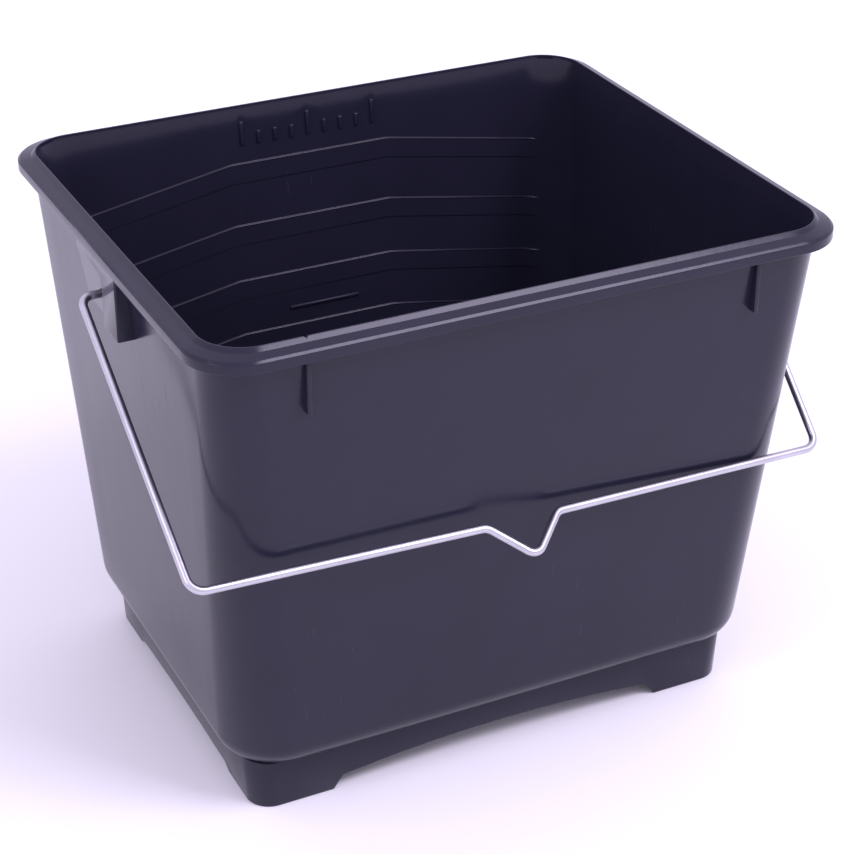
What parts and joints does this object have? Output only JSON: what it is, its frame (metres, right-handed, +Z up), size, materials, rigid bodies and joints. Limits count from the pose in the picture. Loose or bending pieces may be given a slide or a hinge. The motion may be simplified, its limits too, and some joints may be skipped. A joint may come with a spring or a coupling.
{
  "type": "paint scuttle",
  "caption": "Rectangular moulded plastic scuttle for paint and rollers, with a turned-down rim, arched skirt feet and a swinging wire bail with a central hanging notch.",
  "frame": {"origin": "middle of the underside of the whole object's box, on the surface that the feet stand on", "axes": "+X along the long side, towards the right end seen from the front; +Y from the front, where the bail hangs, to the back; +Z up"},
  "size_m": [0.2558, 0.2112, 0.2],
  "materials": {
    "body_plastic": "black polypropylene with a faint violet cast, semi-gloss, fine moulded texture",
    "bail_wire": "bright zinc-plated drawn steel wire"
  },
  "bodies": {
    "bucket": {"bucket_body": "body_plastic"},
    "bail": {"wire_bail": "bail_wire"}
  },
  "joints": [
    {"name": "bail_swing", "type": "hinge", "parent": "bucket", "child": "bail", "pos_m": [0.00009, 0.00214, 0.18], "axis": [-1, 0, 0], "range_deg": [0, 252]}
  ]
}
